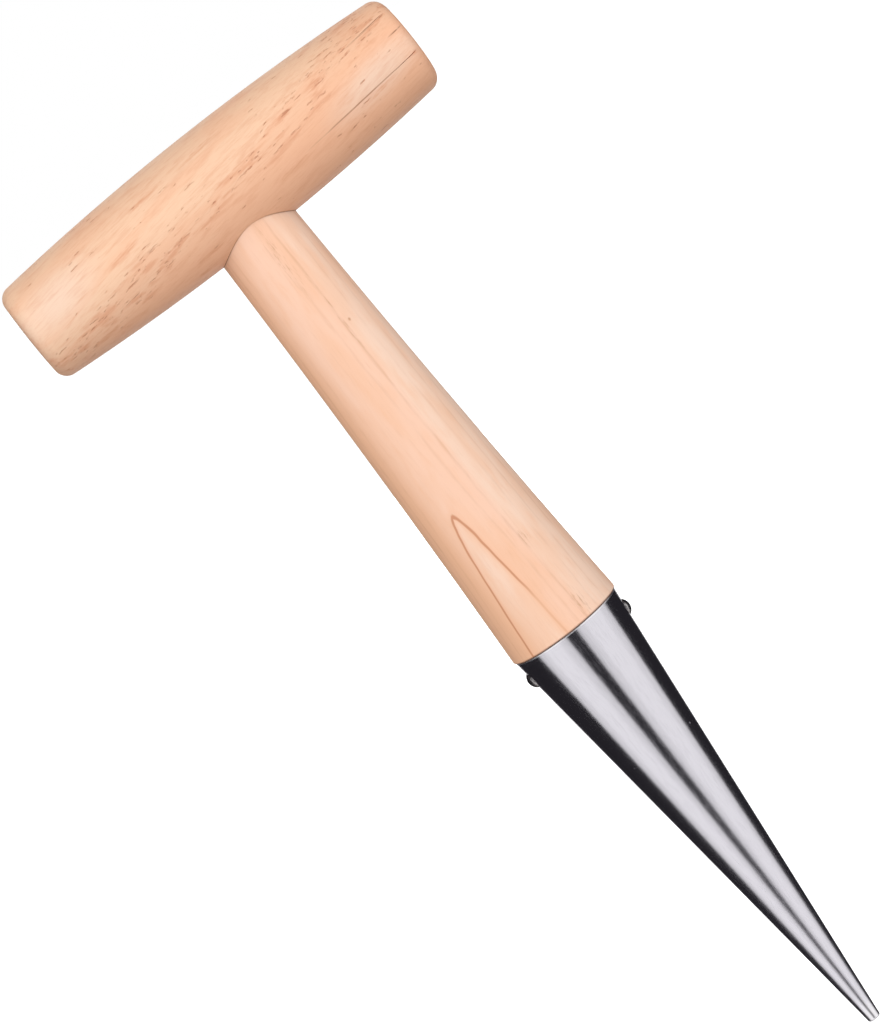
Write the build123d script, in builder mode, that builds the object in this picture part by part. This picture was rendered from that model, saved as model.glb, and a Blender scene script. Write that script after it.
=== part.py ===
import os
from math import atan, cos, sin

from build123d import *

# A T-handled garden dibber, in millimetres.
# +Z runs up the shaft from the tip and +X along the cross handle.
# The origin is the centre of the tip's small flat end.

# Overall
overall_height = 280.0

# Cross handle: a turned barrel lying along X
handle_length = 118.8
handle_mid_diameter = 31.5
handle_end_diameter = 26.0
handle_end_crown = 0.5
handle_edge_radius = 3.0

# Glued joint between the handle and the shaft: a round tenon in a blind mortise
tenon_diameter = 22.5
mortise_top_height = 269.0
mortise_mouth_chamfer = 0.3
tenon_end_gap = 0.5
tenon_end_chamfer = 1.0
neck_height = 248.0

# Steel point: a cone of rolled sheet, closed solid at the tip
point_length = 127.0
point_rim_diameter = 30.8
point_rim_radius = point_rim_diameter / 2
tip_diameter = 3.4
tip_radius = tip_diameter / 2
tip_edge_radius = 0.6
sheet_thickness = 1.0
sheet_edge_radius = 0.25
solid_tip_length = 14.0

# Shaft: turned, widening in a shallow hollow curve down to the shoulder that meets the steel
shoulder_diameter = 31.6
shoulder_edge_radius = 0.6
flare_hollow = 0.5
spigot_length = 72.0
spigot_end_chamfer = 1.5

# Round-head nails, one on each side, driven through the steel into the shaft
nail_rim_distance = 6.0
nail_head_diameter = 4.6
nail_head_height = 1.2
nail_head_rim = 0.6
nail_shank_diameter = 2.0
nail_shank_length = 13.0
nail_point_length = 2.5
pilot_hole_depth = 13.5

# The cone's slope, its radii where the cavity and the spigot end, and where the nails sit on it
cone_slope = (point_rim_radius - tip_radius) / point_length
socket_rim_radius = point_rim_radius - sheet_thickness
cavity_end_radius = tip_radius + cone_slope * solid_tip_length - sheet_thickness
spigot_end_height = point_length - spigot_length
spigot_end_radius = socket_rim_radius - cone_slope * spigot_length
nail_height = point_length - nail_rim_distance
nail_seat_radius = point_rim_radius - cone_slope * nail_rim_distance
handle_axis_height = overall_height - handle_mid_diameter / 2

nail_sides = {"nail_right": 1, "nail_left": -1}


def nail_seat(side):
    """The point on the steel's surface where a nail stands, and the surface's outward direction there."""
    lean = atan(cone_slope)
    seat = Vector(side * nail_seat_radius, 0, nail_height)
    outward = Vector(side * cos(lean), 0, -sin(lean))
    return seat, outward


os.makedirs("parts", exist_ok=True)


# Cross handle: half of its long section turned about its own axis, then bored from below for the tenon
end_radius = handle_end_diameter / 2
end_arc_start = handle_length / 2 - handle_end_crown
barrel_plane = Plane(origin=(0, 0, handle_axis_height), x_dir=(1, 0, 0), z_dir=(0, -1, 0))
barrel_axis = Axis(origin=(0, 0, handle_axis_height), direction=(1, 0, 0))
handle_bottom_height = overall_height - handle_mid_diameter
mortise_plane = Plane(origin=(0, 0, handle_bottom_height), z_dir=(0, 0, -1))

with BuildPart() as cross_handle:
    with BuildSketch(barrel_plane) as barrel_section:
        with BuildLine():
            ThreePointArc((-end_arc_start, end_radius), (0, handle_mid_diameter / 2), (end_arc_start, end_radius))
            TangentArc((handle_length / 2, 0), (end_arc_start, end_radius), tangent=(0, 1))
            TangentArc((-handle_length / 2, 0), (-end_arc_start, end_radius), tangent=(0, 1))
            Line((-handle_length / 2, 0), (handle_length / 2, 0))
        make_face()
        fillet(barrel_section.vertices().group_by(Axis.Y)[-1], radius=handle_edge_radius)
    revolve(axis=barrel_axis)
    barrel_edges = cross_handle.edges()
    with Locations(mortise_plane):
        Hole(radius=tenon_diameter / 2, depth=mortise_top_height - handle_bottom_height)
    mortise_mouth = (cross_handle.edges() - barrel_edges).group_by(Axis.Z)[0]
    chamfer(mortise_mouth, length=mortise_mouth_chamfer)

cross_handle.part.label = "cross_handle"
export_step(cross_handle.part, "parts/cross_handle.step")


# Shaft: tenon, flared body, shoulder and tapered spigot in one turning, with a pilot hole for each nail
tenon_radius = tenon_diameter / 2
tenon_top_height = mortise_top_height - tenon_end_gap
shoulder_radius = shoulder_diameter / 2

with BuildPart() as shaft:
    with BuildSketch(Plane.XZ) as shaft_section:
        with BuildLine():
            Polyline(
                (tenon_radius, neck_height),
                (tenon_radius, tenon_top_height),
                (0, tenon_top_height),
                (0, spigot_end_height),
                (spigot_end_radius, spigot_end_height),
                (socket_rim_radius, point_length),
                (shoulder_radius, point_length),
            )
            SagittaArc((shoulder_radius, point_length), (tenon_radius, neck_height), flare_hollow)
        make_face()
        section_corners = shaft_section.vertices()
        shoulder_corner = section_corners.sort_by(Axis.X)[-1]
        spigot_end_corner = section_corners.group_by(Axis.Y)[0].sort_by(Axis.X)[-1]
        tenon_end_corner = section_corners.group_by(Axis.Y)[-1].sort_by(Axis.X)[-1]
        fillet(shoulder_corner, radius=shoulder_edge_radius)
        chamfer(spigot_end_corner, length=spigot_end_chamfer)
        chamfer(tenon_end_corner, length=tenon_end_chamfer)
    revolve(axis=Axis.Z)
    for side in nail_sides.values():
        seat, outward = nail_seat(side)
        with Locations(Plane(origin=seat, z_dir=outward)):
            Hole(radius=nail_shank_diameter / 2, depth=pilot_hole_depth)

shaft.part.label = "shaft"
export_step(shaft.part, "parts/shaft.step")


# Steel point: the wall of a cone with a solid tip, and a hole through the wall for each nail
with BuildPart() as steel_point:
    with BuildSketch(Plane.XZ) as point_section:
        with BuildLine():
            Polyline(
                (0, 0),
                (tip_radius, 0),
                (point_rim_radius, point_length),
                (socket_rim_radius, point_length),
                (cavity_end_radius, solid_tip_length),
                (0, solid_tip_length),
                close=True,
            )
        make_face()
        section_corners = point_section.vertices()
        tip_corner = section_corners.group_by(Axis.Y)[0].sort_by(Axis.X)[-1]
        rim_corner = section_corners.sort_by(Axis.X)[-1]
        fillet(tip_corner, radius=tip_edge_radius)
        fillet(rim_corner, radius=sheet_edge_radius)
    revolve(axis=Axis.Z)
    for side in nail_sides.values():
        seat, outward = nail_seat(side)
        with Locations(Plane(origin=seat, z_dir=outward)):
            Hole(radius=nail_shank_diameter / 2, depth=2 * sheet_thickness)

steel_point.part.label = "steel_point"
export_step(steel_point.part, "parts/steel_point.step")


# Nails: a low domed head whose underside is cut to the cone it sits on, then a pointed shank
nail_head_radius = nail_head_diameter / 2
nail_shank_radius = nail_shank_diameter / 2

for nail_name, side in nail_sides.items():
    seat, outward = nail_seat(side)
    nail_plane = Plane(origin=seat, x_dir=outward, z_dir=(0, -side, 0))
    nail_axis = Axis(origin=seat, direction=outward)
    with BuildPart() as nail:
        with BuildSketch(nail_plane):
            with BuildLine():
                TangentArc((nail_head_height, 0), (0, nail_head_radius), tangent=(0, 1))
                Polyline(
                    (0, nail_head_radius),
                    (-nail_head_rim, nail_head_radius),
                    (-nail_head_rim, 0),
                    (nail_head_height, 0),
                )
            make_face()
        revolve(axis=nail_axis)
        with Locations((0, 0, point_length / 2)):
            Cone(bottom_radius=tip_radius, top_radius=point_rim_radius, height=point_length, mode=Mode.SUBTRACT)
        with BuildSketch(nail_plane):
            with BuildLine():
                Polyline(
                    (nail_head_height / 2, 0),
                    (nail_head_height / 2, nail_shank_radius),
                    (nail_point_length - nail_shank_length, nail_shank_radius),
                    (-nail_shank_length, 0),
                    close=True,
                )
            make_face()
        revolve(axis=nail_axis)

    nail.part.label = nail_name
    export_step(nail.part, f"parts/{nail_name}.step")
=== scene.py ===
import math

import bmesh
import bpy
from mathutils import Matrix, Vector


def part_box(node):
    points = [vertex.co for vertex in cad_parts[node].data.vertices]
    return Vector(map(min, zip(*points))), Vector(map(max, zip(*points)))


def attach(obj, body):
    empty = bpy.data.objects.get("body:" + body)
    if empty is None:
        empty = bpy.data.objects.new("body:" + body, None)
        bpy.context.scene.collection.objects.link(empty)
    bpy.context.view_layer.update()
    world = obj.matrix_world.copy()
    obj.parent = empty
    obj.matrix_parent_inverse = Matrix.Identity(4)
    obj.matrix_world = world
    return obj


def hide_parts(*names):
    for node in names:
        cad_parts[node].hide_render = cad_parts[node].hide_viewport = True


# Garden dibber: turned wooden cross handle and shaft, polished steel point and its two nails.
# Everything is in metres, in the CAD frame: +Z up the shaft from the tip, +X along the cross handle.

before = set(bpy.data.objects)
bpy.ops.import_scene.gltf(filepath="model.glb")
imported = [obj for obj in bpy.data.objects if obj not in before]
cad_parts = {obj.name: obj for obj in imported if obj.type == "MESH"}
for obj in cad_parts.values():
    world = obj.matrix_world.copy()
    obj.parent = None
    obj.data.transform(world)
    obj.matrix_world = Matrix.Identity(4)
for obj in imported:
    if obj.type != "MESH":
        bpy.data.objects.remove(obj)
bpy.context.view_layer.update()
print("frame loaded:", ", ".join(sorted(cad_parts)))

mm = 0.001
alongX = Vector((1, 0, 0))
alongZ = Vector((0, 0, 1))


# working on meshes

def deselectEverything():
    for thing in bpy.context.selected_objects:
        thing.select_set(False)


def workOn(piece):
    deselectEverything()
    piece.select_set(True)
    bpy.context.view_layer.objects.active = piece


def selectEdges(piece, test):
    # in edit mode: selects the edges whose two ends both pass the test
    bpy.ops.mesh.select_mode(type="EDGE")
    bpy.ops.mesh.select_all(action="DESELECT")
    mesh = bmesh.from_edit_mesh(piece.data)
    for edge in mesh.edges:
        if all(test(end.co) for end in edge.verts):
            edge.select_set(True)
    bmesh.update_edit_mesh(piece.data)


def turnPiece(name, outline, sides, foot=Vector((0, 0, 0)), axis=alongZ):
    # a lathe: the outline is a list of (distance along the axis, radius), drawn point by point and spun round
    across = axis.orthogonal().normalized()
    points = [foot + axis * distance + across * radius for distance, radius in outline]
    deselectEverything()
    bpy.ops.mesh.primitive_plane_add(size=mm)
    piece = bpy.context.active_object
    piece.name = name
    bpy.ops.object.mode_set(mode="EDIT")
    bpy.ops.mesh.select_mode(type="VERT")
    bpy.ops.mesh.merge(type="CENTER")
    bpy.ops.transform.translate(value=points[0])
    for here, there in zip(points, points[1:]):
        bpy.ops.mesh.extrude_region_move(TRANSFORM_OT_translate={"value": there - here})
    bpy.ops.mesh.select_all(action="SELECT")
    bpy.ops.mesh.spin(steps=sides, angle=2 * math.pi, center=foot, axis=axis)
    bpy.ops.mesh.select_all(action="SELECT")
    bpy.ops.mesh.remove_doubles(threshold=0.002 * mm)
    bpy.ops.mesh.normals_make_consistent(inside=False)
    bpy.ops.object.mode_set(mode="OBJECT")
    bpy.ops.object.shade_smooth()
    return piece


def roundRing(piece, distance, radius, width, segments, foot=Vector((0, 0, 0)), axis=alongZ):
    # bevels the ring of edges at this distance along the axis and this radius from it
    slack = 0.02 * mm

    def onRing(point):
        along = (point - foot).dot(axis)
        out = (point - foot - axis * along).length
        return abs(along - distance) < slack and abs(out - radius) < slack

    workOn(piece)
    bpy.ops.object.mode_set(mode="EDIT")
    selectEdges(piece, onRing)
    bpy.ops.mesh.bevel(offset=width, offset_type="OFFSET", segments=segments, profile=0.5, affect="EDGES")
    bpy.ops.object.mode_set(mode="OBJECT")


def cutWith(piece, cutter, operation="DIFFERENCE"):
    cut = piece.modifiers.new(cutter.name, "BOOLEAN")
    cut.operation = operation
    cut.solver = "EXACT"
    cut.object = cutter
    workOn(piece)
    bpy.ops.object.modifier_apply(modifier=cut.name)
    bpy.data.objects.remove(cutter)


def drill(piece, mouth, inward, depth, radius, sides=48):
    # a round hole from just outside the mouth
    lead = 2 * mm
    middle = mouth + inward * (depth - lead) / 2
    deselectEverything()
    bpy.ops.mesh.primitive_cylinder_add(
        vertices=sides, radius=radius, depth=depth + lead, location=middle,
        rotation=inward.to_track_quat("Z", "Y").to_euler(),
    )
    cutWith(piece, bpy.context.active_object)


def finishPiece(piece, node):
    workOn(piece)
    bpy.ops.object.shade_smooth_by_angle(angle=math.radians(35))
    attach(piece, "root")
    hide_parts(node)


def evenSteps(start, end, count):
    return [start + (end - start) * step / count for step in range(count + 1)]


# cross handle

crossHandle = {
    "endDiameter": 26.0 * mm,
    "crown": 0.5 * mm,
    "edgeRadius": 3.0 * mm,
    "edgeSegments": 9,
    "edgeMargin": 1.06,  # how far from a rounded edge the next ring stands, in edge radii
    "crownRings": (0.3, 0.55),
    "mortiseRadius": 11.4 * mm,
    "mortiseTop": 269.0 * mm,
    "mortiseSides": 96,
    "sides": 144,
    "steps": 34,
    "cracks": [  # fine cracks at one end: start and end as (x, height above the axis), width, depth
        ((18.0 * mm, -5.6 * mm), (60.2 * mm, -2.4 * mm), 0.36 * mm, 0.5 * mm),
        ((43.0 * mm, 8.2 * mm), (60.2 * mm, 9.5 * mm), 0.45 * mm, 0.5 * mm),
        ((53.5 * mm, 4.0 * mm), (60.2 * mm, 4.5 * mm), 0.32 * mm, 0.4 * mm),
    ],
}


def makeCrack(piece, start, end, outward, width, depth):
    # a long four-sided spike, widest at the end, sunk half its thickness into the surface
    bpy.ops.mesh.primitive_cone_add(vertices=4, radius1=1, radius2=0, depth=1)
    spike = bpy.context.active_object
    along = (start - end).normalized()
    across = outward.cross(along).normalized()
    out = along.cross(across)
    length = (start - end).length
    turn = Matrix((across * width / 2, out * depth, along * length)).transposed()
    spike.matrix_world = Matrix.Translation((start + end) / 2) @ turn.to_4x4()
    cutWith(piece, spike)


def makeCrossHandle(spec):
    low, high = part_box("cross_handle")
    halfLength = (high[0] - low[0]) / 2
    midRadius = (high[1] - low[1]) / 2
    axisPoint = Vector((0, 0, high[2] - midRadius))
    endRadius = spec["endDiameter"] / 2
    shoulder = halfLength - spec["crown"]
    taper = (midRadius - endRadius) / shoulder ** 2
    edge = spec["edgeRadius"]
    margin = spec["edgeMargin"] * edge
    nearEdge = shoulder - margin
    crownRadii = [0.0] + [endRadius * share for share in spec["crownRings"]] + [endRadius - margin]

    def crownAt(radius):
        return halfLength - spec["crown"] * (radius / endRadius) ** 2

    leftEnd = [(-crownAt(radius), radius) for radius in crownRadii]
    barrel = [(x, midRadius - taper * x * x) for x in evenSteps(-nearEdge, nearEdge, spec["steps"])]
    rightEnd = [(crownAt(radius), radius) for radius in reversed(crownRadii)]
    outline = leftEnd + [(-shoulder, endRadius)] + barrel + [(shoulder, endRadius)] + rightEnd
    piece = turnPiece("crossHandle", outline, spec["sides"], axisPoint, alongX)
    for side in (-1, 1):
        roundRing(piece, side * shoulder, endRadius, edge, spec["edgeSegments"], axisPoint, alongX)

    def onFront(x, rise):
        radius = midRadius - taper * x * x
        return axisPoint + Vector((x, -math.sqrt(radius ** 2 - rise ** 2), rise))

    for start, end, width, depth in spec["cracks"]:
        outward = onFront(*end) - axisPoint
        outward.x = 0
        makeCrack(piece, onFront(*start), onFront(*end), outward.normalized(), width, depth)
    bottom = axisPoint - alongZ * midRadius
    drill(piece, bottom, alongZ, spec["mortiseTop"] - bottom.z, spec["mortiseRadius"], spec["mortiseSides"])
    finishPiece(piece, "cross_handle")
    return piece


handlePiece = makeCrossHandle(crossHandle)
print("cross handle made")


# shaft

shaftSpec = {
    "neckHeight": 248.0 * mm,
    "neckRadius": 11.25 * mm,
    "tenonChamfer": 1.0 * mm,
    "shoulderRadius": 15.8 * mm,
    "shoulderEdge": 0.6 * mm,
    "shoulderSegments": 6,
    "edgeMargin": 1.1,
    "hollow": 0.5 * mm,
    "spigotGap": 0.02 * mm,
    "spigotChamfer": 1.5 * mm,
    "pilotDepth": 13.5 * mm,
    "sides": 144,
    "spigotSteps": 10,
    "flareSteps": 30,
    "tenonSteps": 6,
}

steelSpec = {
    "sheet": 1.0 * mm,
    "tipRadius": 1.7 * mm,
    "tipEdge": 0.6 * mm,
    "tipSegments": 6,
    "rimEdge": 0.25 * mm,
    "rimSegments": 4,
    "edgeMargin": 1.1,
    "solidTip": 14.0 * mm,
    "nailDrop": 6.0 * mm,
    "nailHole": 1.0 * mm,
    "nailHoleDepth": 2.5 * mm,
    "rimStretch": 12 * mm,  # the part by the rim with closer rings
    "rimInset": 0.45 * mm,
    "sides": 192,
    "outerSteps": 30,
    "rimSteps": 12,
    "innerSteps": 20,
}

pointLow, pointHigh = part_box("steel_point")
pointLength = pointHigh[2]
rimRadius = (pointHigh[1] - pointLow[1]) / 2
coneSlope = (rimRadius - steelSpec["tipRadius"]) / pointLength


def coneRadius(height):
    return steelSpec["tipRadius"] + coneSlope * height


def nailSeat(side):
    # the point on the steel where the nail stands, and the way out from there
    height = pointLength - steelSpec["nailDrop"]
    lean = math.atan(coneSlope)
    seat = Vector((side * coneRadius(height), 0, height))
    return seat, Vector((side * math.cos(lean), 0, -math.sin(lean)))


def makeShaft(spec):
    low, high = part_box("shaft")
    bottom, top = low[2], high[2]
    inset = steelSpec["sheet"] + spec["spigotGap"]
    spigotEnd = coneRadius(bottom) - inset
    spigotRoot = coneRadius(pointLength) - inset
    shoulder, neck = spec["shoulderRadius"], spec["neckRadius"]
    edge = spec["shoulderEdge"]
    margin = spec["edgeMargin"] * edge

    def flare(height):
        part = (height - pointLength) / (spec["neckHeight"] - pointLength)
        return shoulder + (neck - shoulder) * part - spec["hollow"] * (1 - (2 * part - 1) ** 2)

    outline = [(bottom, 0), (bottom, spigotEnd - spec["spigotChamfer"])]
    outline += [(height, coneRadius(height) - inset)
                for height in evenSteps(bottom + spec["spigotChamfer"], pointLength - mm, spec["spigotSteps"])]
    outline += [(pointLength, spigotRoot), (pointLength, shoulder - margin), (pointLength, shoulder)]
    outline += [(height, flare(height))
                for height in evenSteps(pointLength + margin, spec["neckHeight"], spec["flareSteps"])]
    outline += [(height, neck)
                for height in evenSteps(spec["neckHeight"], top - spec["tenonChamfer"], spec["tenonSteps"])[1:]]
    outline += [(top, neck - spec["tenonChamfer"]), (top, 0)]
    piece = turnPiece("turnedShaft", outline, spec["sides"])
    roundRing(piece, pointLength, shoulder, edge, spec["shoulderSegments"])
    for side in (-1, 1):
        seat, outward = nailSeat(side)
        drill(piece, seat, -outward, spec["pilotDepth"], steelSpec["nailHole"])
    finishPiece(piece, "shaft")
    return piece


shaftPiece = makeShaft(shaftSpec)
print("shaft made")


# steel point

def makeSteelPoint(spec):
    tip = spec["tipRadius"]
    edge, rimEdge = spec["tipEdge"], spec["rimEdge"]
    rim = pointLength
    closer = rim - spec["rimStretch"]
    tipMargin = spec["edgeMargin"] * edge
    heights = evenSteps(tipMargin, closer, spec["outerSteps"])
    heights += evenSteps(closer, rim - spec["edgeMargin"] * rimEdge, spec["rimSteps"])[1:]
    innerHeights = evenSteps(closer, spec["solidTip"], spec["innerSteps"])

    outline = [(0, 0), (0, tip - tipMargin), (0, tip)]
    outline += [(height, coneRadius(height)) for height in heights]
    outline += [(rim, rimRadius), (rim, rimRadius - spec["rimInset"]), (rim, rimRadius - spec["sheet"])]
    outline += [(height, coneRadius(height) - spec["sheet"]) for height in innerHeights]
    outline += [(spec["solidTip"], 0)]
    piece = turnPiece("steelPoint", outline, spec["sides"])
    roundRing(piece, rim, rimRadius, rimEdge, spec["rimSegments"])
    roundRing(piece, 0, tip, edge, spec["tipSegments"])
    for side in (-1, 1):
        seat, outward = nailSeat(side)
        drill(piece, seat, -outward, spec["nailHoleDepth"], spec["nailHole"])
    finishPiece(piece, "steel_point")
    return piece


pointPiece = makeSteelPoint(steelSpec)
print("steel point made")


# nails

nailSpec = {
    "headRadius": 2.3 * mm,
    "headHeight": 1.2 * mm,
    "headRim": 0.6 * mm,
    "shankRadius": 0.98 * mm,
    "shankLength": 13.0 * mm,
    "pointLength": 2.5 * mm,
    "sides": 48,
    "domeSteps": 12,
}


def makeNail(name, node, side, spec):
    seat, outward = nailSeat(side)
    radius, height = spec["headRadius"], spec["headHeight"]
    ball = (radius ** 2 + height ** 2) / (2 * height)
    sweep = math.asin(radius / ball)
    dome = [
        (height - ball * (1 - math.cos(angle)), ball * math.sin(angle))
        for angle in evenSteps(0, sweep, spec["domeSteps"])
    ]
    head = dome + [(-spec["headRim"], radius), (-spec["headRim"], 0)]
    piece = turnPiece(name, head, spec["sides"], seat, outward)
    deselectEverything()
    bpy.ops.mesh.primitive_cone_add(
        vertices=steelSpec["sides"], radius1=steelSpec["tipRadius"], radius2=rimRadius,
        depth=pointLength, location=(0, 0, pointLength / 2),
    )
    cutWith(piece, bpy.context.active_object)
    shank = [
        (height / 2, 0), (height / 2, spec["shankRadius"]),
        (spec["pointLength"] - spec["shankLength"], spec["shankRadius"]), (-spec["shankLength"], 0),
    ]
    cutWith(piece, turnPiece("shank", shank, spec["sides"] // 2, seat, outward), "UNION")
    finishPiece(piece, node)
    return piece


nailPieces = [
    makeNail("nailRight", "nail_right", 1, nailSpec),
    makeNail("nailLeft", "nail_left", -1, nailSpec),
]
print("nails made")


# building materials

def startMaterial(name):
    material = bpy.data.materials.new(name)
    material.use_nodes = True
    material.node_tree.nodes.clear()
    shader = addNode(material, "BsdfPrincipled")
    addNode(material, "OutputMaterial", {"Surface": shader.outputs[0]})
    return material, shader


def feed(material, socket, value):
    if isinstance(value, bpy.types.NodeSocket):
        material.node_tree.links.new(value, socket)
    else:
        socket.default_value = value


def addNode(material, kind, inputs=None, **settings):
    made = material.node_tree.nodes.new("ShaderNode" + kind)
    for setting, value in settings.items():
        setattr(made, setting, value)
    for socket, value in (inputs or {}).items():
        feed(material, made.inputs[socket], value)
    return made


def calculate(material, operation, first, second=0.0, third=0.0):
    made = addNode(material, "Math", {0: first, 1: second, 2: third}, operation=operation)
    return made.outputs[0]


def fade(material, value, low, high, start=0.0, end=1.0):
    # a smooth step from start to end as the value goes from low to high
    made = addNode(
        material, "MapRange",
        {"Value": value, "From Min": low, "From Max": high, "To Min": start, "To Max": end},
        interpolation_type="SMOOTHSTEP",
    )
    return made.outputs[0]


def blendColours(material, amount, first, second):
    made = addNode(material, "Mix", data_type="RGBA")
    feed(material, made.inputs[0], amount)
    feed(material, made.inputs[6], first)
    feed(material, made.inputs[7], second)
    return made.outputs[2]


def objectPlace(material):
    return addNode(material, "TexCoord").outputs["Object"]


def patternSpace(material, place, sizes, centre=(0, 0, 0), turn=(0, 0, 0)):
    # coordinates in feature sizes from a centre, with the pattern itself turned
    made = addNode(
        material, "Mapping", {"Vector": place, "Location": centre, "Rotation": turn, "Scale": sizes},
        vector_type="TEXTURE",
    )
    return made.outputs[0]


def noise(material, vector, detail=2.0, roughness=0.5):
    made = addNode(
        material, "TexNoise", {"Vector": vector, "Scale": 1.0, "Detail": detail, "Roughness": roughness},
    )
    return made.outputs["Fac"]


def wobble(material, place, sizes, reach):
    # the place, pushed about by up to half the reach each way
    made = addNode(material, "TexNoise", {"Vector": patternSpace(material, place, sizes), "Scale": 1.0})
    push = addNode(material, "VectorMath", {0: made.outputs["Color"], 1: (0.5, 0.5, 0.5)}, operation="SUBTRACT")
    scaled = addNode(material, "VectorMath", {0: push.outputs[0], 1: reach}, operation="MULTIPLY")
    return addNode(material, "VectorMath", {0: place, 1: scaled.outputs[0]}, operation="ADD").outputs[0]


def patch(material, place, centre, reach, turn=(0, 0, 0), core=0.45):
    # 1 in the core of an ellipsoid, fading to 0 at its surface
    space = patternSpace(material, place, reach, centre, turn)
    away = addNode(material, "VectorMath", {0: space}, operation="LENGTH").outputs["Value"]
    return fade(material, away, core, 1.0, 1.0, 0.0)


def specks(material, space, density, size):
    # at most one speck to a cell, in as many of the cells as the density says
    cells = addNode(material, "TexVoronoi", {"Vector": space, "Scale": 1.0, "Randomness": 1.0})
    share = addNode(material, "SeparateColor", {"Color": cells.outputs["Color"]}).outputs[0]
    present = calculate(material, "LESS_THAN", share, density)
    spot = fade(material, cells.outputs["Distance"], 0.4 * size, size, 1.0, 0.0)
    return calculate(material, "MULTIPLY", spot, present)


def anyOf(material, masks):
    total = masks[0]
    for mask in masks[1:]:
        total = calculate(material, "MAXIMUM", total, mask)
    return total


def bumpFrom(material, shader, height, distance):
    bump = addNode(material, "Bump", {"Height": height, "Strength": 1.0, "Distance": distance})
    feed(material, shader.inputs["Normal"], bump.outputs[0])


def paint(piece, material):
    piece.data.materials.clear()
    piece.data.materials.append(material)


# wood of the cross handle

handleWood = {
    "centre": (0, 0, 264.25 * mm),
    "lean": math.radians(-8),
    "pale": (0.80, 0.515, 0.345, 1),
    "warm": (0.79, 0.435, 0.27, 1),
    "red": (0.66, 0.30, 0.17, 1),
    "cream": (0.785, 0.57, 0.44, 1),
    "fleck": (0.48, 0.19, 0.10, 1),
    # painted shade colour for the joint line round the mortise mouth
    "jointShade": (0.36, 0.17, 0.10, 1),
    "crackColour": (0.36, 0.15, 0.08, 1),
    "beltCentre": (0, -15.5 * mm, 263.0 * mm),  # a band of open pores crosses the front, rising to the right
    "beltTurn": (0.3, math.radians(-10.7), 0),
    "beltHalfWidth": 6.0,  # this and the next four are in mm
    "beltSwing": 8.0,
    "ringSpacing": 7.5,
    "endRingSpacing": 1.7,
    # painted shade in part: where the handle turns from warm and darker below to pale above
    "warmShadeToPale": (-8, 5),
    "poreSizes": [(5.5 * mm, 0.8 * mm, 0.6 * mm), (2.6 * mm, 0.7 * mm, 0.5 * mm)],
    "streakSize": (15 * mm, 3 * mm, 1.8 * mm),
    "poreDepth": 0.08 * mm,
    "endGrainStart": 58.3 * mm,
    "mouth": 11.5,  # distance from the shaft's axis, in mm
    "mouthFade": (2 * mm, 9 * mm),  # the painted shade line at the mouth is faint in the middle
    "crackPlane": -13 * mm,
    "crackReach": 6 * mm,
    "creamPatches": [  # centre and reach of the paler areas
        ((46 * mm, -13 * mm, 263 * mm), (22 * mm, 9 * mm, 7 * mm)),
        ((-48 * mm, -12 * mm, 268 * mm), (18 * mm, 10 * mm, 9 * mm)),
    ],
}


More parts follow.
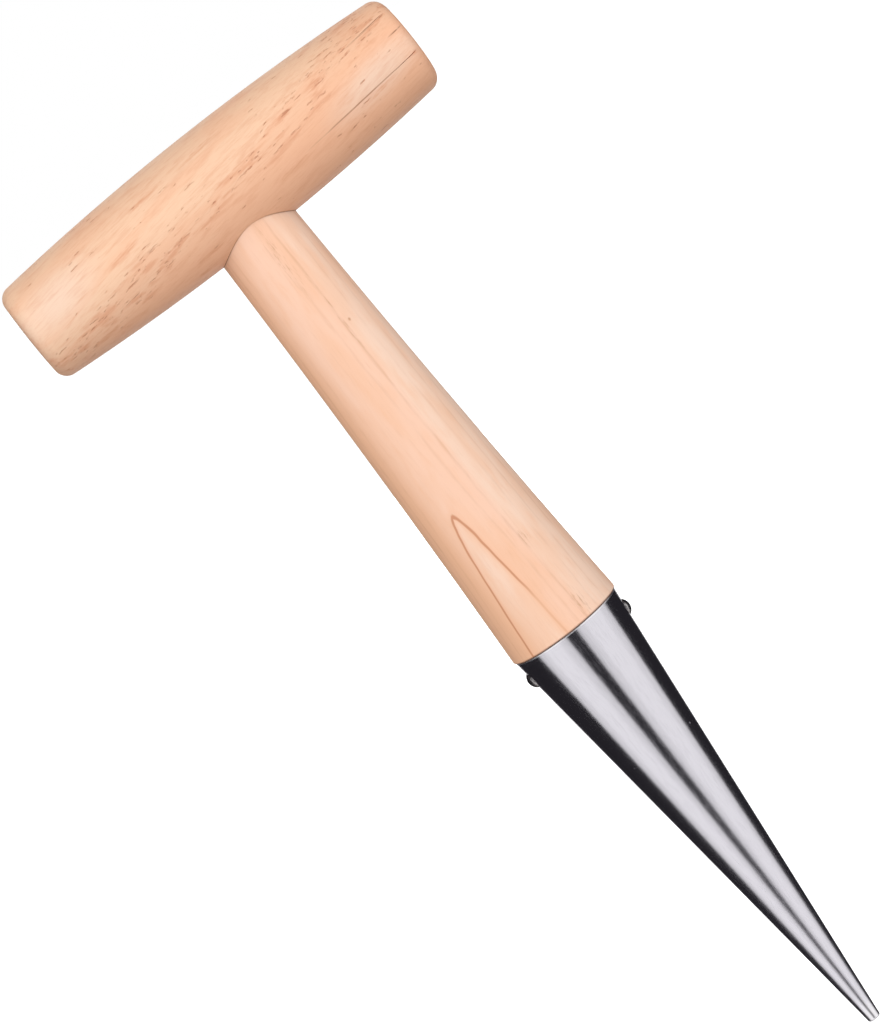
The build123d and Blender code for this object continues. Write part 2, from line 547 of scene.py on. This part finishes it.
def makeHandleWood(spec):
    material, shader = startMaterial("handleWood")
    place = objectPlace(material)
    centre, along = spec["centre"], (0, spec["lean"], 0)
    broad = noise(material, patternSpace(material, place, (45 * mm, 9 * mm, 7 * mm), centre, along), 2.0)
    mottle = noise(material, patternSpace(material, place, (9 * mm, 2 * mm, 1.5 * mm), centre, along), 3.0, 0.6)
    fine = noise(material, patternSpace(material, place, (5 * mm, 0.5 * mm, 0.4 * mm), centre, along), 3.0, 0.6)
    beltSpace = patternSpace(material, place, (mm, mm, mm), spec["beltCentre"], spec["beltTurn"])
    above = addNode(material, "SeparateXYZ", {"Vector": beltSpace}).outputs["Z"]
    swing = calculate(material, "MULTIPLY_ADD", broad, spec["beltSwing"], -spec["beltSwing"] / 2)
    above = calculate(material, "ADD", above, swing)
    belt = fade(material, calculate(material, "ABSOLUTE", above), 0.0, spec["beltHalfWidth"], 1.0, 0.0)
    waveAngle = calculate(material, "MULTIPLY", above, 2 * math.pi / spec["ringSpacing"])
    wave = calculate(material, "SINE", waveAngle)

    # painted shade in part, over the wood's own tone: the wood turns warm and darker below the pore belt,
    # towards the underside
    colour = blendColours(material, fade(material, above, *spec["warmShadeToPale"]), spec["warm"], spec["pale"])
    colour = blendColours(material, fade(material, wave, 0.2, 1.0, 0.0, 0.4), colour, spec["warm"])
    cream = anyOf(material, [
        patch(material, place, spot, reach, (0, spec["lean"], 0), 0.1) for spot, reach in spec["creamPatches"]
    ])
    colour = blendColours(material, calculate(material, "MULTIPLY", cream, 0.8), colour, spec["cream"])
    colour = blendColours(material, fade(material, mottle, 0.45, 0.75, 0.0, 0.35), colour, spec["red"])
    reddish = calculate(material, "MULTIPLY", belt, fade(material, mottle, 0.5, 0.66, 0.1, 0.65))
    colour = blendColours(material, reddish, colour, spec["red"])
    colour = blendColours(material, fade(material, fine, 0.45, 0.8, 0.0, 0.32), colour, spec["red"])

    shaken = wobble(material, place, (2 * mm, 2 * mm, 1.5 * mm), (5 * mm, mm, 0.6 * mm))
    streaky = calculate(material, "MULTIPLY_ADD", belt, 0.5, 0.12)
    streaks = specks(material, patternSpace(material, shaken, spec["streakSize"], centre, along), streaky, 0.5)
    streaks = calculate(material, "MULTIPLY", streaks, fade(material, fine, 0.3, 0.7, 0.2, 0.7))
    colour = blendColours(material, streaks, colour, spec["red"])
    density = calculate(material, "MULTIPLY_ADD", belt, 0.5, 0.05)
    density = calculate(material, "MULTIPLY", density, fade(material, mottle, 0.44, 0.6, 0.12, 1.0))
    pores = anyOf(material, [
        specks(material, patternSpace(material, shaken, size, centre, along), density, 0.4)
        for size in spec["poreSizes"]
    ])
    depth = fade(material, fine, 0.35, 0.65, 0.3, 0.8)
    colour = blendColours(material, calculate(material, "MULTIPLY", pores, depth), colour, spec["fleck"])

    seams = []
    for start, end, width, depth in crossHandle["cracks"]:
        middle = Vector(centre) + Vector(((start[0] + end[0]) / 2, spec["crackPlane"], (start[1] + end[1]) / 2))
        rise = math.atan2(end[1] - start[1], end[0] - start[0])
        reach = ((end[0] - start[0]) * 0.55, spec["crackReach"], width * 0.8)
        seams.append(patch(material, place, middle, reach, (0, -rise, 0), 0.1))
    seam = calculate(material, "MULTIPLY", anyOf(material, seams), fade(material, fine, 0.3, 0.5, 0.35, 0.9))
    colour = blendColours(material, seam, colour, spec["crackColour"])
    side, _, level = addNode(material, "SeparateXYZ", {"Vector": place}).outputs
    side = calculate(material, "ABSOLUTE", side)
    # painted shade: a dark line on the handle round the mouth of the mortise, where the joint with the shaft
    # lies in shade
    fromStem = addNode(
        material, "VectorMath", {0: patternSpace(material, place, (mm, mm, 1.0))}, operation="LENGTH",
    ).outputs["Value"]
    mouth = calculate(
        material, "MULTIPLY", fade(material, fromStem, spec["mouth"], spec["mouth"] + 0.3, 1.0, 0.0),
        fade(material, level, centre[2] - 2 * mm, centre[2], 1.0, 0.0),
    )
    mouth = calculate(material, "MULTIPLY", mouth, fade(material, side, *spec["mouthFade"], 0.15, 0.9))
    colour = blendColours(material, mouth, colour, spec["jointShade"])
    ends = fade(material, side, spec["endGrainStart"], spec["endGrainStart"] + mm, 0.0, 0.45)
    endAngle = calculate(material, "MULTIPLY", above, 2 * math.pi / spec["endRingSpacing"])
    endRings = calculate(material, "SINE", endAngle)
    endRings = calculate(material, "MULTIPLY", ends, fade(material, endRings, -0.3, 1.0, 0.35, 1.0))
    colour = blendColours(material, endRings, colour, spec["red"])

    feed(material, shader.inputs["Base Color"], colour)
    feed(material, shader.inputs["Roughness"], fade(material, fine, 0.3, 0.7, 0.45, 0.6))
    height = calculate(material, "MULTIPLY_ADD", pores, -1.0, calculate(material, "MULTIPLY", fine, 0.25))
    bumpFrom(material, shader, height, spec["poreDepth"])
    return material


# wood of the shaft

shaftWood = {
    "middle": (0.84, 0.535, 0.39, 1),
    "pale": (0.84, 0.60, 0.465, 1),
    "orange": (0.81, 0.46, 0.285, 1),
    "line": (0.50, 0.235, 0.115, 1),
    "archLine": (0.56, 0.225, 0.11, 1),
    # painted shade colour for the groove above the steel rim
    "rimGrooveShadeColour": (0.16, 0.07, 0.04, 1),
    "ringDirection": (-0.42, -0.907, 0.0223),
    "ringStart": -2.83,
    "rings": [  # how far out each faint ring line lies, its half width, both in mm, and how dark it is
        (-14.0, 0.3, 0.5), (-11.4, 0.4, 0.4), (-7.0, 0.4, 0.3), (-2.0, 0.3, 0.35), (1.7, 0.4, 0.3),
        (4.9, 0.4, 0.2), (8.0, 0.4, 0.15), (11.4, 0.3, 0.3), (12.9, 0.25, 0.15),
    ],
    "ringSpan": 16.5,
    "ringDrift": 0.03,  # how far the faint lines wander, in spans
    "pointedRing": 14.75,  # the ring that the turning cuts through, which leaves a long pointed arch
    "paleHeart": (10.0, 11.9),
    # painted shade: where the left side of the shaft turns darker and more orange
    "shadedOrangeSide": (-12 * mm, -6 * mm),
    "archCentre": -5.9 * mm,
    "archFadeLevel": (137 * mm, 147 * mm),
    "archFadeSide": (-4 * mm, -2 * mm),
    "streaks": [  # centre and reach of the patches of fine dark streaks
        ((0.4 * mm, -11.5 * mm, 242 * mm), (2.0 * mm, 4 * mm, 14 * mm)),
        ((3.0 * mm, -12 * mm, 224 * mm), (0.8 * mm, 4 * mm, 18 * mm)),
        ((5 * mm, -14 * mm, 152 * mm), (2.0 * mm, 5 * mm, 3.5 * mm)),
        ((6 * mm, -14 * mm, 131 * mm), (2.5 * mm, 5 * mm, 6 * mm)),
    ],
    "knot": ((4.6 * mm, -11 * mm, 220.5 * mm), (0.4 * mm, 2 * mm, 0.6 * mm)),
    "rimGrooveShadeBand": (0.1 * mm, 0.6 * mm),  # painted shade in the groove just above the rim of the steel
    "grainDepth": 0.05 * mm,
}


def makeShaftWood(spec):
    material, shader = startMaterial("shaftWood")
    place = objectPlace(material)
    side, _, level = addNode(material, "SeparateXYZ", {"Vector": place}).outputs
    broad = noise(material, patternSpace(material, place, (6 * mm, 6 * mm, 35 * mm)), 2.0)
    mottle = noise(material, patternSpace(material, place, (2 * mm, 2 * mm, 9 * mm)), 3.0, 0.6)
    fine = noise(material, patternSpace(material, place, (0.45 * mm, 0.45 * mm, 7 * mm)), 3.0, 0.6)
    bent = wobble(material, place, (6 * mm, 6 * mm, 12 * mm), (0.2 * mm, 0.2 * mm, 0.2 * mm))
    ringDirection = [part / mm for part in spec["ringDirection"]]
    outward = addNode(
        material, "VectorMath", {0: bent, 1: ringDirection}, operation="DOT_PRODUCT",
    ).outputs["Value"]
    outward = calculate(material, "ADD", outward, spec["ringStart"])
    span, drift = spec["ringSpan"], spec["ringDrift"]
    across = calculate(material, "MULTIPLY_ADD", outward, 0.5 / span, 0.5)
    ramp = addNode(material, "ValToRGB", {"Fac": calculate(material, "MULTIPLY_ADD", broad, drift, across)})
    stops = ramp.color_ramp.elements
    stops[0].color = stops[1].color = (0, 0, 0, 1)
    for middle, halfWidth, strength in spec["rings"]:
        for offset, value in ((-halfWidth, 0), (0, strength), (halfWidth, 0)):
            stop = stops.new((middle + offset) / (2 * span) + (1 + drift) / 2)
            stop.color = (value, value, value, 1)
    rings = calculate(material, "MULTIPLY", ramp.outputs["Color"], fade(material, mottle, 0.35, 0.6, 0.2, 1.0))

    # the arch line keeps its width by widening away from its apex, and its right leg fades low down
    fromRing = calculate(material, "ABSOLUTE", calculate(material, "SUBTRACT", outward, spec["pointedRing"]))
    fromApex = calculate(material, "ABSOLUTE", calculate(material, "SUBTRACT", side, spec["archCentre"]))
    reach = calculate(material, "MULTIPLY_ADD", fromApex, 0.02 / mm, 0.012)
    arch = fade(material, calculate(material, "DIVIDE", fromRing, reach), 0.3, 1.3, 0.9, 0.0)
    low = fade(material, level, *spec["archFadeLevel"], 0.7, 0.0)
    fading = calculate(material, "MULTIPLY", low, fade(material, side, *spec["archFadeSide"]))
    arch = calculate(material, "MULTIPLY", arch, calculate(material, "SUBTRACT", 1.0, fading))

    paleZones = anyOf(material, [
        fade(material, outward, *spec["paleHeart"], 0.85, 0.0),
        fade(material, outward, spec["pointedRing"], spec["pointedRing"] + 0.2, 0.0, 0.7),
    ])
    colour = blendColours(material, paleZones, spec["middle"], spec["pale"])
    # painted shade: the left side of the shaft turns darker and more orange
    colour = blendColours(material, fade(material, side, *spec["shadedOrangeSide"], 1.0, 0.0), colour, spec["orange"])
    colour = blendColours(material, fade(material, broad, 0.42, 0.7, 0.0, 0.5), colour, spec["orange"])
    colour = blendColours(material, fade(material, mottle, 0.45, 0.75, 0.0, 0.4), colour, spec["orange"])
    colour = blendColours(material, fade(material, fine, 0.5, 0.85, 0.0, 0.14), colour, spec["line"])
    colour = blendColours(material, rings, colour, spec["line"])
    halo = fade(material, calculate(material, "DIVIDE", fromRing, reach), 1.0, 4.0, 0.45, 0.0)
    colour = blendColours(material, halo, colour, spec["orange"])
    colour = blendColours(material, arch, colour, spec["archLine"])
    streaky = anyOf(material, [
        patch(material, place, centre, size, core=0.2) for centre, size in spec["streaks"]
    ])
    threads = noise(material, patternSpace(material, place, (0.35 * mm, 0.35 * mm, 4 * mm)), 3.0, 0.7)
    streaky = calculate(material, "MULTIPLY", streaky, fade(material, threads, 0.5, 0.66, 0.0, 0.55))
    knot = patch(material, place, *spec["knot"])
    marks = anyOf(material, [streaky, calculate(material, "MULTIPLY", knot, 0.7)])
    colour = blendColours(material, marks, colour, spec["line"])
    # painted shade: a near-black band on the wood just above the steel rim, where the groove between wood and
    # steel lies in shade
    grooveShadeStart, grooveShadeEnd = spec["rimGrooveShadeBand"]
    rimGrooveShade = fade(material, level, pointLength + grooveShadeStart, pointLength + grooveShadeEnd, 0.95, 0.0)
    colour = blendColours(material, rimGrooveShade, colour, spec["rimGrooveShadeColour"])
    feed(material, shader.inputs["Base Color"], colour)
    feed(material, shader.inputs["Roughness"], fade(material, fine, 0.3, 0.7, 0.42, 0.55))
    height = calculate(material, "MULTIPLY_ADD", marks, -1.0, calculate(material, "MULTIPLY", fine, 0.4))
    bumpFrom(material, shader, height, spec["grainDepth"])
    return material


# polished steel of the point

pointSteel = {
    "colour": (0.71, 0.69, 0.735, 1),
    "tipColour": (0.88, 0.86, 0.88, 1),
    "hairColour": (0.4, 0.38, 0.42, 1),
    "rimRoughness": 0.145,
    "tipRoughness": 0.27,
    "wornBelow": (9 * mm, 1 * mm),
    "hairSize": (0.4 * mm, 0.4 * mm, 16 * mm),
    "dentSize": (9 * mm, 9 * mm, 20 * mm),
    "pitSpacing": 3 * mm,
    "rimColour": (0.97, 0.95, 0.97, 1),
    "rimBand": 0.45 * mm,
    "rimGloss": 0.22,
    "tipEdge": 0.9 * mm,
    "dentDepth": 0.015 * mm,
}


def makePolishedSteel(spec):
    material, shader = startMaterial("polishedSteel")
    place = objectPlace(material)
    level = addNode(material, "SeparateXYZ", {"Vector": place}).outputs["Z"]
    hairs = noise(material, patternSpace(material, place, spec["hairSize"]), 3.0, 0.6)
    dents = noise(material, patternSpace(material, place, spec["dentSize"]), 1.0)
    pits = specks(material, patternSpace(material, place, (spec["pitSpacing"],) * 3), 0.06, 0.1)
    worn = fade(material, level, *spec["wornBelow"])
    colour = blendColours(material, worn, spec["colour"], spec["tipColour"])
    colour = blendColours(material, fade(material, hairs, 0.45, 0.75, 0.0, 0.12), colour, spec["hairColour"])
    rim = fade(material, level, pointLength - spec["rimBand"], pointLength - 0.7 * spec["rimBand"])
    colour = blendColours(material, rim, colour, spec["rimColour"])
    feed(material, shader.inputs["Base Color"], colour)
    feed(material, shader.inputs["Metallic"], 1.0)
    ground = fade(material, level, 0.0, pointLength, spec["tipRoughness"], spec["rimRoughness"])
    rough = calculate(material, "ADD", ground, fade(material, hairs, 0.4, 0.75, 0.0, 0.06))
    rough = calculate(material, "MULTIPLY_ADD", pits, 0.4, rough)
    rough = calculate(material, "MULTIPLY_ADD", rim, spec["rimGloss"], rough)
    rough = calculate(material, "ADD", rough, fade(material, level, 0.0, spec["tipEdge"], 0.4, 0.0))
    feed(material, shader.inputs["Roughness"], rough)
    height = calculate(material, "MULTIPLY_ADD", hairs, 0.02, dents)
    height = calculate(material, "MULTIPLY_ADD", pits, -0.6, height)
    bumpFrom(material, shader, height, spec["dentDepth"])
    return material


# steel of the nails

nailSteel = {
    "bright": (0.50, 0.48, 0.48, 1),
    "stained": (0.27, 0.24, 0.23, 1),
    "hammerSize": 0.9 * mm,
    "hammerDepth": 0.08 * mm,
    "stainSize": 1.6 * mm,
}


def makeNailSteel(spec):
    material, shader = startMaterial("nailSteel")
    place = objectPlace(material)
    hammered = noise(material, patternSpace(material, place, (spec["hammerSize"],) * 3), 2.0)
    stain = noise(material, patternSpace(material, place, (spec["stainSize"],) * 3), 3.0, 0.6)
    colour = blendColours(material, fade(material, stain, 0.45, 0.7), spec["bright"], spec["stained"])
    feed(material, shader.inputs["Base Color"], colour)
    feed(material, shader.inputs["Metallic"], 1.0)
    feed(material, shader.inputs["Roughness"], fade(material, stain, 0.4, 0.7, 0.2, 0.42))
    bumpFrom(material, shader, hammered, spec["hammerDepth"])
    return material


paint(handlePiece, makeHandleWood(handleWood))
paint(shaftPiece, makeShaftWood(shaftWood))
paint(pointPiece, makePolishedSteel(pointSteel))
nailFinish = makeNailSteel(nailSteel)
for nailPiece in nailPieces:
    paint(nailPiece, nailFinish)
print("materials made")


# camera

cameraSpec = {
    "azimuth": math.radians(-2.0),
    "elevation": math.radians(7.22),
    "roll": math.radians(-38.33),
    "distance": 1.3,
    "target": Vector((-6.7 * mm, 0, 167.9 * mm)),
    "lens": 185.2,
    "sensor": 36.0,
}


def outFrom(azimuth, elevation):
    # the unit vector towards a place round the object; azimuth 0 is in front, at -Y
    flat = math.cos(elevation)
    return Vector((math.sin(azimuth) * flat, -math.cos(azimuth) * flat, math.sin(elevation)))


def makeCamera(spec):
    out = outFrom(spec["azimuth"], spec["elevation"])
    data = bpy.data.cameras.new("camera")
    data.sensor_width = spec["sensor"]
    data.lens = spec["lens"]
    camera = bpy.data.objects.new("camera", data)
    bpy.context.scene.collection.objects.link(camera)
    facing = (-out).to_track_quat("-Z", "Y").to_matrix()
    camera.location = spec["target"] + out * spec["distance"]
    camera.rotation_euler = (facing @ Matrix.Rotation(spec["roll"], 3, "Z")).to_euler()
    bpy.context.scene.camera = camera


makeCamera(cameraSpec)


# studio: a pale floor, two tall soft boxes in front and one behind, and a key and a back fill that the steel
# doesn't mirror

studio = {
    "centre": Vector((0, 0, 130 * mm)),
    "boxDistance": 1.2,
    "boxHeight": 2.6,
    "boxLift": 20 * mm,
    "boxes": {  # where the middle of each stands, and half the angle that it fills
        "leftBox": (math.radians(-48.5), math.radians(34.5)),
        "rightBox": (math.radians(51), math.radians(41)),
        "backBox": (math.radians(178), math.radians(20)),
    },
    "boxLayers": [(1.0, 0.74), (0.8, 0.14), (0.45, 0.14)],  # share of the width, and radiance
    "layerGap": 10 * mm,
    "keyAzimuth": math.radians(-5),
    "keyElevation": math.radians(54),
    "keyDistance": 1.5,
    "panelSize": 1.0,
    "keyRadiance": 3.27,
    "fillAzimuth": math.radians(180),
    "fillRadiance": 2.4,
    "ambientLevel": 0.5,  # from the sides
    "ambientUpDown": 0.17,  # from straight above or below
    "roomColour": (0.9, 0.83, 1.0, 1),
    "roomGloss": 0.024,
    "floorGloss": (0.95, 0.12),  # seen in steep downward reflections, to the front and to the back
    "floorHeading": (-0.3, 0.45),
    "floorDip": (-0.72, -0.5),
    "floorRadius": 6.0,
    "floorSides": 96,
    "floorColour": (0.93, 0.93, 0.93, 1),
    "floorRoughness": 0.9,
}


def addPanel(name, location, towards, width, height, radiance, mirrored):
    # an area light whose surface has the given radiance, whatever its size
    data = bpy.data.lights.new(name, "AREA")
    data.shape = "RECTANGLE"
    data.size = width
    data.size_y = height
    data.energy = radiance * math.pi * width * height
    panel = bpy.data.objects.new(name, data)
    bpy.context.scene.collection.objects.link(panel)
    panel.location = location
    panel.rotation_euler = (towards - location).to_track_quat("-Z", "Y").to_euler()
    panel.visible_camera = False
    panel.visible_glossy = mirrored
    return panel


def makeStudio(spec):
    raised = spec["centre"] + alongZ * spec["boxLift"]
    for name, (azimuth, halfAngle) in spec["boxes"].items():
        width = 2 * spec["boxDistance"] * math.tan(halfAngle)
        for step, (share, radiance) in enumerate(spec["boxLayers"]):
            middle = raised + outFrom(azimuth, 0) * (spec["boxDistance"] - step * spec["layerGap"])
            addPanel(name, middle, raised, width * share, spec["boxHeight"], radiance, True)
    keyPlace = spec["centre"] + outFrom(spec["keyAzimuth"], spec["keyElevation"]) * spec["keyDistance"]
    size = spec["panelSize"]
    addPanel("keyLight", keyPlace, spec["centre"], size, size, spec["keyRadiance"], False)
    fillPlace = spec["centre"] + outFrom(spec["fillAzimuth"], 0) * spec["keyDistance"]
    addPanel("backFill", fillPlace, spec["centre"], size, size, spec["fillRadiance"], False)

    deselectEverything()
    bpy.ops.mesh.primitive_circle_add(vertices=spec["floorSides"], radius=spec["floorRadius"], fill_type="NGON")
    floor = bpy.context.active_object
    floor.name = "floor"
    pale, shader = startMaterial("paleFloor")
    feed(pale, shader.inputs["Base Color"], spec["floorColour"])
    feed(pale, shader.inputs["Roughness"], spec["floorRoughness"])
    feed(pale, shader.inputs["Emission Color"], (1, 1, 1, 1))
    feed(pale, shader.inputs["Emission Strength"], 1.0)
    paint(floor, pale)
    floor.visible_glossy = False
    floor.visible_diffuse = False


def makeWorld(spec):
    # white behind the object, a soft ambient on matt surfaces, and a dark room for mirrored rays,
    # with a pale floor in it for those that go steeply down
    world = bpy.data.worlds.new("studio")
    world.use_nodes = True
    world.node_tree.nodes.clear()
    path = addNode(world, "LightPath").outputs
    direction = addNode(world, "TexCoord").outputs["Generated"]
    _, heading, dip = addNode(world, "SeparateXYZ", {"Vector": direction}).outputs
    floorSeen = fade(world, dip, *spec["floorDip"], 1.0, 0.0)
    floorGloss = fade(world, heading, *spec["floorHeading"], *spec["floorGloss"])
    gloss = calculate(world, "MULTIPLY_ADD", floorSeen, floorGloss, spec["roomGloss"])
    steepness = calculate(world, "ABSOLUTE", dip)
    ambient = fade(world, steepness, 0.0, 1.0, spec["ambientLevel"], spec["ambientUpDown"])
    ambient = calculate(world, "MULTIPLY", path["Is Diffuse Ray"], ambient)
    mirrored = calculate(world, "MULTIPLY", path["Is Glossy Ray"], gloss)
    lit = calculate(world, "MAXIMUM", ambient, mirrored)
    strength = calculate(world, "MAXIMUM", path["Is Camera Ray"], lit)
    notFloor = calculate(world, "SUBTRACT", 1.0, floorSeen)
    roomSeen = calculate(world, "MULTIPLY", path["Is Glossy Ray"], notFloor)
    tint = blendColours(world, roomSeen, (1, 1, 1, 1), spec["roomColour"])
    background = addNode(world, "Background", {"Color": tint, "Strength": strength})
    addNode(world, "OutputWorld", {"Surface": background.outputs[0]})
    bpy.context.scene.world = world


makeStudio(studio)
makeWorld(studio)
bpy.context.scene.view_settings.view_transform = "Standard"
print("studio made")
